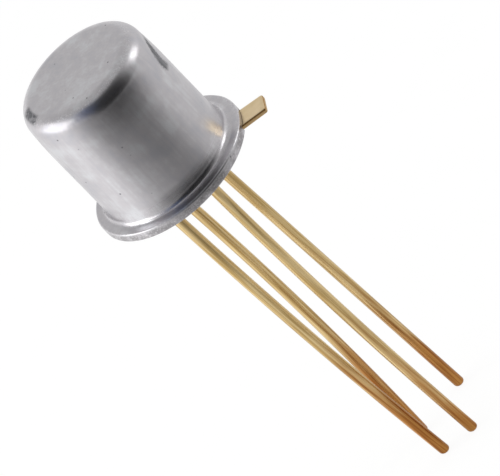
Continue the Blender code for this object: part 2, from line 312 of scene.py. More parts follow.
# %% [markdown]
# The tab leaves through a notch in the lip. A cube primitive, turned to the tab's angle, cuts it out. It
# reaches a hair past each face that it opens, because a cutter that only touches a face leaves slivers.

# %% Cut the notch for the tab
NOTCH_HALF, NOTCH_START, NOTCH_PAST = 0.56 * MM, 0.015 * MM, 0.1 * MM
NOTCH_LOW, NOTCH_BITE = -0.07 * MM, 0.01 * MM
notch_inner = math.sqrt(LIP_BORE**2 - NOTCH_HALF**2) - NOTCH_START
notch_outer = FLANGE_RADIUS + NOTCH_PAST
notch_high = FLANGE_SEAT + NOTCH_BITE
notch_middle = tab_way * (notch_inner + notch_outer) / 2 + Vector((0, 0, (NOTCH_LOW + notch_high) / 2))
bpy.ops.mesh.primitive_cube_add(
    size=1.0,
    location=notch_middle,
    rotation=(0.0, 0.0, math.radians(TAB_ANGLE)),
    scale=(notch_outer - notch_inner, 2 * NOTCH_HALF, notch_high - NOTCH_LOW),
)
cut(can, bpy.context.active_object)
hand_over(can, "cap", 40)

# %% [markdown]
# The header with its index tab
#
# The header is drawn and stamped from one gold-plated sheet: a shallow cup, a flat flange, and a tab that
# marks the source lead. It is turned like the can, from half a step on, so that one side face looks
# exactly along +X, where the tab will grow.

# %% Turn the header
HEADER_STEPS = 96
HALF_STEP = math.pi / HEADER_STEPS
SHELL_ROUND, FOOT_ROUND, MOUTH_ROUND = 0.12 * MM, 0.06 * MM, 0.09 * MM
shell_corner = (SHELL_RADIUS - SHELL_ROUND, SHELL_TOP - SHELL_ROUND)
shell_foot = (SHELL_RADIUS + FOOT_ROUND, SHEET + FOOT_ROUND)
mouth = (SHELL_BORE + MOUTH_ROUND, MOUTH_ROUND)
header_profile = [(0.0, SHELL_TOP)]
header_profile += round_corner(shell_corner, SHELL_ROUND, 90, 0, 6)
header_profile += round_corner(shell_foot, FOOT_ROUND, 180, 270, 4)
header_profile += [(HEADER_RADIUS, SHEET), (HEADER_RADIUS, 0.0)]
header_profile += round_corner(mouth, MOUTH_ROUND, 270, 180, 6)
header_profile += [(SHELL_BORE, PLATE_UNDERSIDE), (0.0, PLATE_UNDERSIDE)]
header = turn_profile("stamped_header", header_profile, HEADER_STEPS, HALF_STEP)
print("Header profile:", len(header_profile), "points")

# %% [markdown]
# The tab is part of the same sheet, so it is pulled out of the rim. The five side faces that look along
# +X are extruded to the tab's length, flattened to one straight end, and narrowed there.

# %% Pull the tab out of the rim, pointing along +X for now
TAB_FACES = 5
TAB_ROOT_HALF = HEADER_RADIUS * math.sin(TAB_FACES * HALF_STEP)
NEAR = 0.01 * MM


def on_outline(middle, normal):
    return abs(normal.z) < 0.1 and math.hypot(middle.x, middle.y) > HEADER_RADIUS - NEAR


def under_tab(middle, normal):
    return on_outline(middle, normal) and middle.x > 0 and abs(middle.y) < TAB_ROOT_HALF


picked = pick(header, "FACE", under_tab)
extrude((TAB_REACH - HEADER_RADIUS, 0.0, 0.0))
tab_end = (TAB_REACH, 0.0, SHEET / 2)
bpy.ops.transform.resize(value=(0.0, 1.0, 1.0), center_override=tab_end)
bpy.ops.transform.resize(value=(1.0, TAB_TIP_HALF / TAB_ROOT_HALF, 1.0), center_override=tab_end)
end_edit()
print("Tab pulled from", picked, "faces")

# %% [markdown]
# Stamping rounds every edge a little. The tab's two corners and its two roots at the rim are upright
# edges, found by where they stand. Region to Loop then turns the side faces into their outline, which is
# bevelled above and below in one go.

# %% Round the tab's corners and its root, then the stamped outline
TAB_CORNER = 0.07 * MM
TAB_ROOT_ROUND = 0.13 * MM
STAMPED_ROUND = 0.035 * MM
tab_root_x = HEADER_RADIUS * math.cos(TAB_FACES * HALF_STEP)


def bevel_uprights(piece, x, y, offset):
    """Rounds the two upright edges of the tab that stand at (x, y) and (x, -y)."""

    def rule(a, b):
        upright = abs(a.z - b.z) > SHEET / 2 and math.dist(a.xy, b.xy) < NEAR
        return upright and abs(a.x - x) < NEAR and abs(abs(a.y) - y) < NEAR

    found = pick(piece, "EDGE", rule)
    bpy.ops.mesh.bevel(offset=offset, segments=6, affect="EDGES", clamp_overlap=False)
    end_edit()
    return found


corners = bevel_uprights(header, TAB_REACH, TAB_TIP_HALF, TAB_CORNER)
roots = bevel_uprights(header, tab_root_x, TAB_ROOT_HALF, TAB_ROOT_ROUND)
sides = pick(header, "FACE", lambda middle, normal: on_outline(middle + normal * NEAR, normal))
bpy.ops.mesh.region_to_loop()
bpy.ops.mesh.bevel(offset=STAMPED_ROUND, segments=4, affect="EDGES", clamp_overlap=False)
end_edit()
print(f"Bevelled {corners} corners, {roots} root edges and the outline of {sides} side faces")

# %% [markdown]
# Three leads pass through the cup's top, each in an eyelet that glass will fill and that a cylinder
# primitive cuts. The fourth is welded under the plate and needs no hole.

# %% Pierce the eyelets and turn the tab to its corner
LEAD_ANGLE = {"lead_source": 90.0, "lead_gate": 180.0, "lead_drain": 270.0, "lead_case": 0.0}
POSTS = ("lead_source", "lead_gate", "lead_drain")
ROD_SIDES = 48
ROD_TURN = math.radians(2)


def rod(radius, low, high, place):
    """An upright cylinder, turned so that its corners miss those of what it cuts or joins."""
    bpy.ops.mesh.primitive_cylinder_add(
        vertices=ROD_SIDES,
        radius=radius,
        depth=high - low,
        location=(place.x, place.y, (low + high) / 2),
        rotation=(0.0, 0.0, ROD_TURN),
    )
    return bpy.context.active_object


header.rotation_euler.z = math.radians(TAB_ANGLE)
for lead in POSTS:
    eyelet = towards(LEAD_CIRCLE, LEAD_ANGLE[lead])
    cut(header, rod(EYELET_RADIUS, PLATE_UNDERSIDE - SHEET, SHELL_TOP + SHEET, eyelet))
hand_over(header, "header_shell", 35)

# %% [markdown]
# The glass
#
# Molten glass fills the cup and grips each lead, so current can pass without touching the shell. It is
# turned as a slug, a hair clear of the metal, with a small curve where it crept along the cup's wall.

# %% Turn the slug
GLASS_TOP = PLATE_UNDERSIDE - SEAL_GAP
GLASS_RECESS = 0.07 * MM
WALL_RISE = 0.04 * MM
glass_side = SHELL_BORE - SEAL_GAP
creep = (glass_side - WALL_RISE, GLASS_RECESS - WALL_RISE)
slug_profile = [(0.0, GLASS_TOP), (glass_side, GLASS_TOP), (glass_side, GLASS_RECESS - WALL_RISE)]
slug_profile += round_corner(creep, WALL_RISE, 10, 90, 6)
slug_profile.append((0.0, GLASS_RECESS))
glass = turn_profile("sealing_glass", slug_profile, HEADER_STEPS)
print("Slug profile:", len(slug_profile), "points")

# %% [markdown]
# Round each lead the glass set as a small concave collar. One collar is turned, with a stem that reaches
# into the slug, and is then copied to every lead.

# %% Turn one collar
COLLAR_RISE = 0.06 * MM
COLLAR_LIP = 0.012 * MM
COLLAR_DEPTH = 0.2 * MM
collar_top = GLASS_RECESS + COLLAR_DEPTH
collar_foot = GLASS_RECESS - COLLAR_RISE
collar_radius = LEAD_RADIUS + SEAL_GAP + COLLAR_LIP + COLLAR_RISE
collar_profile = [(0.0, collar_top), (collar_radius, collar_top)]
collar_profile += round_corner((collar_radius, collar_foot), COLLAR_RISE, 90, 180, 6)
collar_profile.append((0.0, collar_foot))
collar = turn_profile("collar", collar_profile, 40)
print(f"The collar stands {COLLAR_RISE / MM:.2f} mm below the glass")

# %% [markdown]
# Boolean modifiers join the collars to the slug, and with them the plugs that fill the header's eyelets.
# The bores for the leads are cut last, through all of it.

# %% Join collars and plugs, and bore the glass
for lead, angle in LEAD_ANGLE.items():
    place = towards(LEAD_CIRCLE, angle)
    select_only(collar)
    bpy.ops.object.duplicate()
    copy = bpy.context.active_object
    copy.location = place
    cut(glass, copy, "UNION")
    if lead in POSTS:
        cut(glass, rod(EYELET_RADIUS - SEAL_GAP, GLASS_TOP / 2, SHELL_TOP, place), "UNION")
for angle in LEAD_ANGLE.values():
    cut(glass, rod(LEAD_RADIUS + SEAL_GAP, -SHEET, POST_TOP, towards(LEAD_CIRCLE, angle)))
bpy.data.objects.remove(collar, do_unlink=True)
hand_over(glass, "glass_seal", 30)

# %% [markdown]
# The leads
#
# Each lead is drawn wire, cut to length and barrel plated with gold. A curve with a bevel would also do.
# Here a circle is extruded ring by ring, which leaves a clean mesh whose end can be rounded. The route is
# the CAD model's: a kick under the glass, then a long lean with a slight bow, which is how handling has
# bent these four.

# %% The leads' route: kick, lean, bow and splay in millimetres
LEAD_KNEE = 0.90 * MM
LEAN_ANGLE = 62.0
ROUTE = {
    "lead_source": (-0.09, 0.84, 0.0, -0.79),
    "lead_gate": (0.12, 0.46, 0.17, 0.34),
    "lead_drain": (0.17, 1.01, -0.10, 0.32),
    "lead_case": (-0.07, 0.64, -0.11, 0.01),
}


def ease(share):
    share = min(max(share, 0.0), 1.0)
    return share * share * (3 - 2 * share)


def lead_shift(lead, depth):
    """How far a lead has left its straight line, in the plane, at a depth under the seating plane."""
    kick, lean, bow, splay = ROUTE[lead]
    share = depth / LEAD_LENGTH
    start = ease(depth / LEAD_KNEE)
    sideways = (kick + lean * share + bow * 4 * share * (1 - share)) * start * MM
    across = splay * share * start * MM
    return towards(sideways, LEAN_ANGLE) + towards(across, LEAN_ANGLE - 90)


for lead in LEAD_ANGLE:
    print(lead, "ends", round(lead_shift(lead, LEAD_LENGTH).length / MM, 2), "mm off its straight line")

# %% [markdown]
# Each wire starts as a filled circle at its upper end. That face is extruded from ring to ring, and the
# last rings shrink, because cutting and tumbling leave the tip rounded.

# %% Draw each wire
LEAD_SIDES = 24
LEAD_RINGS = 44
TIP_FLAT = 0.065 * MM
TIP_RINGS = 7


def lead_rings(top):
    """(depth, radius) of each ring, from the post down to the rounded tip."""
    rounding = LEAD_RADIUS - TIP_FLAT
    straight = LEAD_LENGTH - rounding
    rings = [(-top, LEAD_RADIUS), (0.0, LEAD_RADIUS)]
    rings += [(straight * i / LEAD_RINGS, LEAD_RADIUS) for i in range(1, LEAD_RINGS)]
    return rings + round_corner((straight, TIP_FLAT), rounding, 90, 0, TIP_RINGS)


def draw_lead(lead):
    top = POST_TOP if lead in POSTS else PLATE_UNDERSIDE - SEAL_GAP
    rings = lead_rings(top)
    straight = towards(LEAD_CIRCLE, LEAD_ANGLE[lead])
    places = [straight + lead_shift(lead, depth) - Vector((0, 0, depth)) for depth, _ in rings]
    select_only()
    bpy.ops.mesh.primitive_circle_add(
        vertices=LEAD_SIDES, radius=LEAD_RADIUS, fill_type="NGON", location=places[0]
    )
    wire = bpy.context.active_object
    wire.name = lead.replace("lead", "wire_lead")
    start_edit("FACE")
    for (_, before), (_, radius), here, there in zip(rings, rings[1:], places, places[1:]):
        extrude(there - here)
        if radius != before:
            thinner = radius / before
            bpy.ops.transform.resize(value=(thinner, thinner, 1.0), center_override=there)
    bpy.ops.mesh.select_all(action="SELECT")
    bpy.ops.mesh.normals_make_consistent(inside=False)
    end_edit()
    hand_over(wire, lead, 40)
    return wire


wires = [draw_lead(lead) for lead in LEAD_ANGLE]

# %% [markdown]
# The plating's streaks run along each wire, so their pattern has to follow the bends. Each vertex keeps a
# note of its place on a straight wire, in an attribute that the material can read.

# %% Note each vertex's place on the straight wire
STRAIGHT_PLACE = "straight_place"


def note_straight_place(wire, lead):
    mesh = wire.data
    note = mesh.attributes.new(STRAIGHT_PLACE, "FLOAT_VECTOR", "POINT")
    for vertex, entry in zip(mesh.vertices, note.data):
        entry.vector = vertex.co - lead_shift(lead, -vertex.co.z)
    return len(mesh.vertices)


for wire, lead in zip(wires, LEAD_ANGLE):
    print(wire.name, "notes:", note_straight_place(wire, lead))

# %% [markdown]
# Materials: a few small helpers
#
# A material is a small network of nodes. One helper adds a node with its settings and links. One turns a
# colour from the hex value seen on screen into the linear value that Blender computes with. One turns a
# pattern's size in millimetres into a texture's scale.


# %% Helpers for materials
def linear(hex_colour):
    """A hex colour such as C8A060, as linear red, green, blue and alpha."""
    parts = [int(hex_colour[i : i + 2], 16) / 255 for i in (0, 2, 4)]
    return tuple(p / 12.92 if p <= 0.04045 else ((p + 0.055) / 1.055) ** 2.4 for p in parts) + (1.0,)


def per(size_mm):
    """The texture scale at which one feature is about this many millimetres across."""
    return 1.0 / (size_mm * MM)


def fill(tree, socket, value):
    """Links another node's output to a socket, or gives the socket a plain value."""
    if isinstance(value, bpy.types.NodeSocket):
        tree.links.new(value, socket)
    else:
        socket.default_value = value


def add_node(tree, kind, inputs=(), stops=(), **settings):
    """Adds a node, fills its inputs by order or by name, and returns its output."""
    made = tree.nodes.new("ShaderNode" + kind)
    for name, value in settings.items():
        setattr(made, name, value)
    for socket, value in inputs.items() if isinstance(inputs, dict) else enumerate(inputs):
        fill(tree, made.inputs[socket], value)
    for number, (position, colour) in enumerate(stops):
        knots = made.color_ramp.elements
        knot = knots[number] if number < 2 else knots.new(position)
        knot.position = position
        knot.color = linear(colour)
    return next((output for output in made.outputs if output.enabled), made)


print("Helpers ready: linear, per, fill, add_node")

# %% [markdown]
# Every finish starts with a new material and ends in the inputs of its Principled shader. A new piece
# takes it into its mesh, and a CAD node, whose mesh stays as it is, into its own slot.


# %% Start a finish, and put it on a piece
def new_finish(name):
    """A material, its node tree, its Principled shader and the object coordinates."""
    material = bpy.data.materials.new(name)
    material.use_nodes = True
    tree = material.node_tree
    place = add_node(tree, "TexCoord").node.outputs["Object"]
    return material, tree, tree.nodes["Principled BSDF"], place


def set_finish(tree, shader, **inputs):
    """Fills the shader's inputs. Base_Color=... fills Base Color."""
    for name, value in inputs.items():
        fill(tree, shader.inputs[name.replace("_", " ")], value)


def wear_finish(piece, material):
    if piece.material_slots:
        piece.material_slots[0].link = "OBJECT"
        piece.material_slots[0].material = material
    else:
        piece.data.materials.append(material)
    print(f"{piece.name} wears {material.name}")


# %% [markdown]
# Nickel plating on the can
#
# The can wears satin nickel: a thin plate, tumbled in a barrel, over drawn steel. Nickel is a grey with a
# trace of warmth. Drawing left very fine marks up the wall, which blur reflections into a soft sheen, and
# tumbling left the edges grainy, with painted glints on them. A few pits and a scuff show that the part
# has been handled, and a dark patch painted on the top's edge stands in for a dark reflection there.
#
# The patterns are made first and mixed afterwards. A cloud about a millimetre across, and patches half as
# wide, make the plate slightly uneven. The drawing marks are a noise stretched along Z. They and the
# grain are really finer than a hundredth of a millimetre, and are drawn coarser so that they show. The
# pits lie in cells a third of a millimetre wide, of which only some have one.

# %% The nickel's patterns
CLOUD_SIZE, PATCH_SIZE, MARK_SIZE, GRAIN_SIZE, PIT_SPACING = 0.9, 0.4, 0.11, 0.045, 0.36
nickel, tree, shader, place = new_finish("satin_nickel_plating")
cloud = add_node(tree, "TexNoise", {"Vector": place, "Scale": per(CLOUD_SIZE), "Detail": 4.0})
tall = add_node(tree, "Mapping", {"Vector": place, "Scale": (1.0, 1.0, 0.05)})
drawn = add_node(tree, "TexNoise", {"Vector": tall, "Scale": per(MARK_SIZE), "Detail": 2.0})
grain = add_node(tree, "TexNoise", {"Vector": place, "Scale": per(GRAIN_SIZE), "Detail": 2.0})
patches = add_node(tree, "TexNoise", {"Vector": place, "Scale": per(PATCH_SIZE), "Detail": 3.0})
pit_away = add_node(tree, "TexVoronoi", {"Vector": place, "Scale": per(PIT_SPACING)})
pit_kept = add_node(tree, "Math", [pit_away.node.outputs["Color"], 0.62], operation="GREATER_THAN")
pit_spot = add_node(tree, "MapRange", [pit_away, 0.11, 0.05])
pit = add_node(tree, "Math", [pit_spot, pit_kept], operation="MULTIPLY")
print("Nickel patterns:", len(tree.nodes), "nodes")

# %% [markdown]
# Wear sits where other parts rub: on the flange's rim and on the crease round the top, found by their
# distance from the axis. The grain breaks it up into near-white specks, which are painted glints. Low on
# the lip the plate is darker in mottled patches, partly dirt and partly painted shade that stands in for
# the dark reflection there.

# %% Where the nickel is rubbed, and the lip's dirt and painted shade
RIM_BAND = (2.64 * MM, 2.72 * MM)
LIP_BAND = (0.31 * MM, 0.24 * MM)
CREASE_RADIUS = 1.98 * MM
axes = add_node(tree, "SeparateXYZ", [place]).node.outputs
level_place = add_node(tree, "CombineXYZ", [axes["X"], axes["Y"]])
radius = add_node(tree, "VectorMath", [level_place], operation="LENGTH")


def near(value, middle, full, none):
    """1 while a value is within full of the middle, fading to 0 at none."""
    offset = add_node(tree, "Math", [value, middle], operation="SUBTRACT")
    distance = add_node(tree, "Math", [offset], operation="ABSOLUTE")
    return add_node(tree, "MapRange", [distance, none, full], interpolation_type="SMOOTHSTEP")


rim = add_node(tree, "MapRange", [radius, *RIM_BAND])
crease = near(radius, CREASE_RADIUS, 0.03 * MM, 0.14 * MM)
mottled = add_node(tree, "MapRange", [patches, 0.42, 0.58, 0.15, 1.0])
low = add_node(tree, "MapRange", [axes["Z"], *LIP_BAND])
on_lip = add_node(tree, "Math", [rim, low], operation="MULTIPLY")
# Dirt and painted shade: darker mottled patches low on the lip
lip_dirt_and_painted_shade = add_node(tree, "Math", [on_lip, mottled], operation="MULTIPLY")
wear_and_painted_light = add_node(tree, "Math", [rim, crease], operation="MAXIMUM")
speckle = add_node(tree, "MapRange", [grain, 0.50, 0.70])
# Painted highlight: near-white glint specks on the rubbed rim and crease
painted_glint = add_node(tree, "Math", [wear_and_painted_light, speckle], operation="MULTIPLY")
print("With rubbed places:", len(tree.nodes), "nodes")

# %% [markdown]
# Two dark marks are found by their turn round the can as well: a scuffed streak that curls down the wall,
# and a patch on the top's edge, which is a painted dark reflection. The grain makes them ragged, and the
# drawing marks scratch through them.

# %% The scuff and the painted dark patch
STREAK_TURN, STREAK_LEVEL, CURL_LEVEL = math.radians(43), 3.76 * MM, 3.5 * MM
DARK_PATCH_TURN, DARK_PATCH_RADIUS = math.radians(-112), 1.93 * MM
CURL = -math.radians(22) / MM**2
turn = add_node(tree, "Math", [axes["Y"], axes["X"]], operation="ARCTAN2")
ragged_turn = add_node(tree, "Math", [grain, math.radians(10), turn], operation="MULTIPLY_ADD")
rise = add_node(tree, "Math", [axes["Z"], CURL_LEVEL], operation="SUBTRACT")
rise_squared = add_node(tree, "Math", [rise, rise], operation="MULTIPLY")
streak_turn = add_node(tree, "Math", [rise_squared, CURL, ragged_turn], operation="MULTIPLY_ADD")
streak_across = near(streak_turn, STREAK_TURN, math.radians(3), math.radians(7))
streak_along = near(axes["Z"], STREAK_LEVEL, 0.42 * MM, 0.62 * MM)
streak = add_node(tree, "Math", [streak_across, streak_along], operation="MULTIPLY")
# Painted reflection: a dark patch on the left of the top's round edge
dark_patch_round = near(ragged_turn, DARK_PATCH_TURN, math.radians(9), math.radians(17))
dark_patch_across = near(radius, DARK_PATCH_RADIUS, 0.08 * MM, 0.20 * MM)
painted_dark_patch = add_node(tree, "Math", [dark_patch_round, dark_patch_across], operation="MULTIPLY")
streak_and_dark_patch = add_node(tree, "Math", [streak, painted_dark_patch], operation="MAXIMUM")
scratchy = add_node(tree, "MapRange", [drawn, 0.38, 0.52, 0.6, 1.0])
scuff_and_painted_patch = add_node(tree, "Math", [streak_and_dark_patch, scratchy], operation="MULTIPLY")
print("With scuffs:", len(tree.nodes), "nodes")

# %% [markdown]
# Cloud, patches and drawing marks set the grey together, and each mask lays its own colour over it: dirt
# with painted shade on the lip, painted glints on the rubbed edges, the scuff with a painted dark patch,
# and the pits.

# %% Mix the nickel's colour
fine = add_node(tree, "Math", [drawn, 0.22], operation="MULTIPLY")
blotched = add_node(tree, "Math", [patches, 0.34, fine], operation="MULTIPLY_ADD")
uneven = add_node(tree, "Math", [cloud, 0.44, blotched], operation="MULTIPLY_ADD")
greys = [(0.38, "BDBCC1"), (0.50, "C6C3C6"), (0.62, "D1D1D4")]
tone = add_node(tree, "ValToRGB", [uneven], stops=greys)
for mask, colour, share in (
    # dirt and painted shade on the lip
    (lip_dirt_and_painted_shade, "848082", 0.75),
    # painted highlight
    (painted_glint, "F6F4F6", 0.5),
    # scuff, with the painted dark reflection on the top's edge
    (scuff_and_painted_patch, "606165", 0.9),
    (pit, "55545A", 0.9),
):
    amount = add_node(tree, "Math", [mask, share], operation="MULTIPLY")
    tone = add_node(tree, "Mix", {"Factor": amount, "A": tone, "B": linear(colour)}, data_type="RGBA")
print("With colour:", len(tree.nodes), "nodes")

# %% [markdown]
# The press burnished the foot of the wall, so its reflections are a little crisper, and the scuff and the
# painted patch are duller. Two bumps give relief: slow waves that drawing left in the sheet, half a
# millimetre apart, and the grain on top of them, strongest where tumbling rubbed the edges.

# %% Mix the nickel's gloss and relief
BURNISHED_LEVEL = 0.56 * MM
WAVE_SIZE, WAVE_HEIGHT, GRAIN_HEIGHT = 0.5, 0.008 * MM, 0.004 * MM
gloss = add_node(tree, "MapRange", [uneven, 0.40, 0.60, 0.33, 0.31])
burnished = near(axes["Z"], BURNISHED_LEVEL, 0.10 * MM, 0.32 * MM)
ironed = add_node(tree, "Math", [burnished, -0.07, gloss], operation="MULTIPLY_ADD")
rough = add_node(tree, "Math", [scuff_and_painted_patch, 0.15, ironed], operation="MULTIPLY_ADD")
relief = add_node(tree, "Math", [wear_and_painted_light, 0.6, 0.12], operation="MULTIPLY_ADD")
height = add_node(tree, "Math", [grain, relief], operation="MULTIPLY")
pulled = add_node(tree, "Mapping", {"Vector": place, "Scale": (1.0, 1.0, 0.6)})
waves = add_node(tree, "TexNoise", {"Vector": pulled, "Scale": per(WAVE_SIZE), "Detail": 3.0})
wavy = add_node(tree, "Bump", {"Strength": 1.0, "Distance": WAVE_HEIGHT, "Height": waves})
bumps = add_node(
    tree, "Bump", {"Strength": 0.5, "Distance": GRAIN_HEIGHT, "Height": height, "Normal": wavy}
)
set_finish(tree, shader, Metallic=1.0, Base_Color=tone, Roughness=rough, Normal=bumps)
wear_finish(can, nickel)

# %% [markdown]
# Gold plating on the header
#
# The header wears a thin flash of gold over nickel-iron. So little gold looks pale, nearer to straw than
# to jewellery. The sheet was plated before it was stamped, so its cut edge shows burnished metal between
# two brown lines of bare alloy. They are found by their height, which only the stamped edge and the tab's
# sides pass through. The grain is drawn coarser than it is.

# %% The header's finish
header_gold, tree, shader, place = new_finish("pale_gold_flash")
cloud = add_node(tree, "TexNoise", {"Vector": place, "Scale": per(0.5), "Detail": 4.0})
grain = add_node(tree, "TexNoise", {"Vector": place, "Scale": per(0.05), "Detail": 2.0})
level = add_node(tree, "SeparateXYZ", [place]).node.outputs["Z"]
tone = add_node(tree, "ValToRGB", [cloud], stops=[(0.35, "EFD8B0"), (0.65, "E2CA9E")])
up_the_sheet = add_node(tree, "MapRange", [level, 0.0, SHEET])
cut_colours = [(0.08, "A87E48"), (0.22, "CFB080"), (0.60, "D6B98A"), (0.74, "A5783E")]
sheared = add_node(tree, "ValToRGB", [up_the_sheet], stops=cut_colours)
inside_sheet = near(level, SHEET / 2, 0.35 * SHEET, 0.49 * SHEET)
tone = add_node(tree, "Mix", {"Factor": inside_sheet, "A": tone, "B": sheared}, data_type="RGBA")
bumps = add_node(tree, "Bump", {"Strength": 0.3, "Distance": 0.004 * MM, "Height": grain})
gloss = add_node(tree, "MapRange", [cloud, 0.3, 0.7, 0.28, 0.36])
rough = add_node(tree, "Math", [inside_sheet, 0.22, gloss], operation="MULTIPLY_ADD")
set_finish(tree, shader, Metallic=1.0, Base_Color=tone, Roughness=rough, Normal=bumps)
wear_finish(header, header_gold)

# %% [markdown]
# Gold plating on the leads
#
# The leads are nickel-iron wire with the same gold flash. Near the can it is straw coloured. Towards the
# tips it has worn and tarnished to a coppery brown, in lines and smears along the wire, which was drawn
# through a die and later pushed in and out of a socket. The brown climbs higher on the side that faces
# the camera, which is painted shade standing in for the dark reflection there, and the case lead is worn
# least. The straight place noted above is squeezed along the wire, which stretches a noise into such
# streaks round every bend. Real drawing lines are finer.

# %% Where the leads are worn, with painted shade on the camera's side
LINE_SIZE, SMEAR_SIZE = 0.07, 0.25
LINE_REACH, SMEAR_REACH, SIDE_REACH, SPARED = 3.0 * MM, 7.0 * MM, -1.8 * MM, 1.0 * MM
SHADED_SIDE = -28.0
BROWN_FROM, BROWN_THROUGH = -3.3 * MM, -8.8 * MM
lead_gold, tree, shader, _ = new_finish("gold_plated_wire")
straight = add_node(tree, "Attribute", attribute_name=STRAIGHT_PLACE).node.outputs["Vector"]
long_place = add_node(tree, "Mapping", {"Vector": straight, "Scale": (1.0, 1.0, 0.03)})
lines = add_node(tree, "TexNoise", {"Vector": long_place, "Scale": per(LINE_SIZE), "Detail": 3.0})
patch_place = add_node(tree, "Mapping", {"Vector": straight, "Scale": (1.0, 1.0, 0.12)})
smears = add_node(tree, "TexNoise", {"Vector": patch_place, "Scale": per(SMEAR_SIZE), "Detail": 3.0})
axes = add_node(tree, "SeparateXYZ", [straight]).node.outputs
outwards = add_node(tree, "TexCoord").node.outputs["Normal"]
# Painted shade: the side facing the camera turns brown higher up the wire
wear_and_painted_light = add_node(tree, "VectorMath", [outwards, towards(1.0, SHADED_SIDE)], operation="DOT_PRODUCT")
spared = add_node(tree, "MapRange", [axes["X"], LEAD_CIRCLE / 2, LEAD_CIRCLE, 0.0, SPARED])
brown_level = add_node(tree, "Math", [axes["Z"], spared])
for pattern, reach in ((smears, SMEAR_REACH), (lines, LINE_REACH), (wear_and_painted_light, SIDE_REACH)):
    brown_level = add_node(tree, "Math", [pattern, reach, brown_level], operation="MULTIPLY_ADD")
brown_band = [brown_level, BROWN_FROM, BROWN_THROUGH]
browned = add_node(tree, "MapRange", brown_band, interpolation_type="SMOOTHSTEP")
print("Lead patterns:", len(tree.nodes), "nodes")

# %% [markdown]
# Both golds are lighter along the lines that the die polished, and the worn part, with the painted shade
# on the camera's side, takes the brown one. The lines also give the wire its faint ridges.

# %% The leads' finish
straw = add_node(tree, "ValToRGB", [lines], stops=[(0.36, "B89A64"), (0.62, "E6CC98")])
brown = add_node(tree, "ValToRGB", [lines], stops=[(0.36, "945A2A"), (0.62, "C08A4C")])
tone = add_node(tree, "Mix", {"Factor": browned, "A": straw, "B": brown}, data_type="RGBA")
gloss = add_node(tree, "MapRange", [lines, 0.3, 0.7, 0.24, 0.36])
bumps = add_node(tree, "Bump", {"Strength": 0.4, "Distance": 0.006 * MM, "Height": lines})
set_finish(tree, shader, Metallic=1.0, Base_Color=tone, Roughness=gloss, Normal=bumps)
for wire in wires:
    wear_finish(wire, lead_gold)

# %% [markdown]
# Sealing glass
#
# The seal is powdered glass, melted in a furnace. It set smooth and glossy, tinted a dark green-grey by
# what it took up from the oxidised metal. Lighter spots show where bubbles are trapped.

# %% The glass's finish
sealing, tree, shader, place = new_finish("fused_sealing_glass")
cloud = add_node(tree, "TexNoise", {"Vector": place, "Scale": per(0.4), "Detail": 3.0})
bubbles = add_node(tree, "TexVoronoi", {"Vector": place, "Scale": per(0.12)})
tone = add_node(tree, "ValToRGB", [cloud], stops=[(0.3, "2F3B38"), (0.7, "3D4A45")])
light_spot = add_node(tree, "MapRange", [bubbles, 0.22, 0.12, 0.0, 0.5])
tone = add_node(
    tree, "Mix", {"Factor": light_spot, "A": tone, "B": linear("6A7671")}, data_type="RGBA"
)
gloss = add_node(tree, "MapRange", [cloud, 0.3, 0.7, 0.08, 0.16])
set_finish(tree, shader, Base_Color=tone, Roughness=gloss)
wear_finish(glass, sealing)

# %% [markdown]
# Inside the can
#
# The CAD model's chip, solder pad and bond wires are kept and only get their finishes. The chip is
# polished silicon with bright aluminium tracks, drawn as rows of cells. The solder is a dull gold-silicon
# alloy that froze grainy. The bond wires are pure gold, drawn bright and thinner than a hair. Cells and
# drawn lines are coarser than they are in life.

# %% Silicon, solder and bond wires
silicon, tree, shader, place = new_finish("polished_silicon")
cells = add_node(tree, "TexBrick", {"Vector": place, "Scale": per(0.12), "Mortar Size": 0.04})
tone = add_node(
    tree, "ValToRGB", [cells.node.outputs["Fac"]], stops=[(0.2, "4A4A58"), (0.8, "A9ABB5")]
)
set_finish(tree, shader, Metallic=0.6, Base_Color=tone, Roughness=0.2)

solder, tree, shader, place = new_finish("gold_silicon_solder")
frozen = add_node(tree, "TexNoise", {"Vector": place, "Scale": per(0.08), "Detail": 4.0})
tone = add_node(tree, "ValToRGB", [frozen], stops=[(0.35, "B89A66"), (0.65, "D0B27C")])
bumps = add_node(tree, "Bump", {"Strength": 0.5, "Distance": 0.004 * MM, "Height": frozen})
set_finish(tree, shader, Metallic=1.0, Base_Color=tone, Roughness=0.48, Normal=bumps)

fine_gold, tree, shader, place = new_finish("drawn_fine_gold")
lines = add_node(tree, "TexNoise", {"Vector": place, "Scale": per(0.02), "Detail": 2.0})
tone = add_node(tree, "ValToRGB", [lines], stops=[(0.35, "E8BC5E"), (0.65, "F4CE78")])
set_finish(tree, shader, Metallic=1.0, Base_Color=tone, Roughness=0.22)

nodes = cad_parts
wear_finish(nodes["mosfet_die"], silicon)
wear_finish(nodes["die_attach"], solder)
for post in POSTS:
    wear_finish(nodes[post.replace("lead", "bond_wire")], fine_gold)

# %% [markdown]
# The camera
#
# The photograph looks down at the can from about 29 degrees above its seating plane, through a long lens.
# The camera is rolled, so that the can leans up to the left and the leads run down to the right. It aims
# beside and below the can, so that the whole part fits.

# %% Place the camera
VIEW_ELEVATION = 29.08
VIEW_TOWARDS = -27.95
VIEW_ROLL = 44.2
VIEW_DISTANCE = 250 * MM
PIXELS_PER_MM = 32.61
PICTURE_WIDTH = 500
AIM_RIGHT = 2.366 * MM
AIM_DOWN = 2.016 * MM

height = math.radians(VIEW_ELEVATION)
to_camera = towards(math.cos(height), VIEW_TOWARDS, math.sin(height))
level_right = towards(1.0, VIEW_TOWARDS + 90)
level_up = to_camera.cross(level_right)
roll = math.radians(VIEW_ROLL)
picture_right = level_right * math.cos(roll) - level_up * math.sin(roll)
picture_up = level_right * math.sin(roll) + level_up * math.cos(roll)
aim = picture_right * AIM_RIGHT - picture_up * AIM_DOWN

